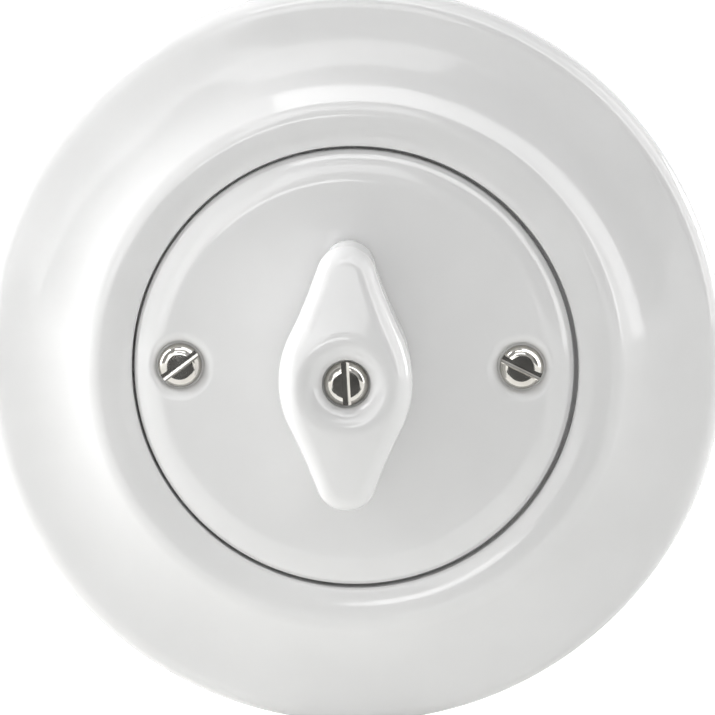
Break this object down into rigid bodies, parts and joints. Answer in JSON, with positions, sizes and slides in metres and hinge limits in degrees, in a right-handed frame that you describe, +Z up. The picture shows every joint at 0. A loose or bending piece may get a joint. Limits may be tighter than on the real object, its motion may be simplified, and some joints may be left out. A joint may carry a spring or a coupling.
{
  "type": "rotary two-way wall switch",
  "caption": "Round flush rotary light switch: moulded porcelain surround, porcelain cover with slotted screws, lozenge knob, and its detent and contact mechanism behind.",
  "frame": {"origin": "where the spindle's axis meets the wall's surface, which is the mounting plate's back face", "axes": "+Y goes into the wall along the spindle's axis, the room is at -Y, +Z is up"},
  "size_m": [0.1, 0.0548, 0.1],
  "materials": {
    "porcelain": "glossy white glaze",
    "nickel": "polished nickel plate",
    "zinc_plated_steel": "bright zinc plate",
    "spring_steel": "blued spring steel",
    "base_ceramic": "matt unglazed",
    "cam_plastic": "moulded, satin",
    "rotor_plastic": "moulded phenolic, satin",
    "hard_paper": "pressed phenolic paper, satin",
    "brass": "machined",
    "nickel_brass": "nickel plate",
    "bronze": "rolled phosphor bronze"
  },
  "bodies": {
    "housing": {"surround": "porcelain", "cover_plate": "porcelain", "cover_screw_left": "nickel", "cover_screw_right": "nickel", "cover_post_left": "zinc_plated_steel", "cover_post_right": "zinc_plated_steel", "mounting_plate": "zinc_plated_steel", "bearing_bridge": "zinc_plated_steel", "bridge_screw_upper": "zinc_plated_steel", "bridge_screw_lower": "zinc_plated_steel", "mechanism_base": "base_ceramic", "detent_spring_left": "spring_steel", "detent_spring_right": "spring_steel", "rear_plate": "hard_paper", "rear_screw_left": "zinc_plated_steel", "rear_screw_right": "zinc_plated_steel", "common_terminal": "brass", "common_clamp_screw": "nickel_brass", "common_finger": "bronze", "first_way_terminal": "brass", "first_way_clamp_screw": "nickel_brass", "first_way_finger": "bronze", "second_way_terminal": "brass", "second_way_clamp_screw": "nickel_brass", "second_way_finger": "bronze"},
    "rotor": {"knob": "porcelain", "knob_screw": "nickel", "spindle": "zinc_plated_steel", "spindle_clip": "spring_steel", "detent_cam": "cam_plastic", "contact_rotor": "rotor_plastic", "contact_ring": "brass"}
  },
  "joints": [
    {"name": "knob_turn", "type": "hinge", "parent": "housing", "child": "rotor", "pos_m": [0, 0, 0], "axis": [0, 1, 0], "continuous": true, "deforming": ["detent_spring_left", "detent_spring_right"]}
  ]
}
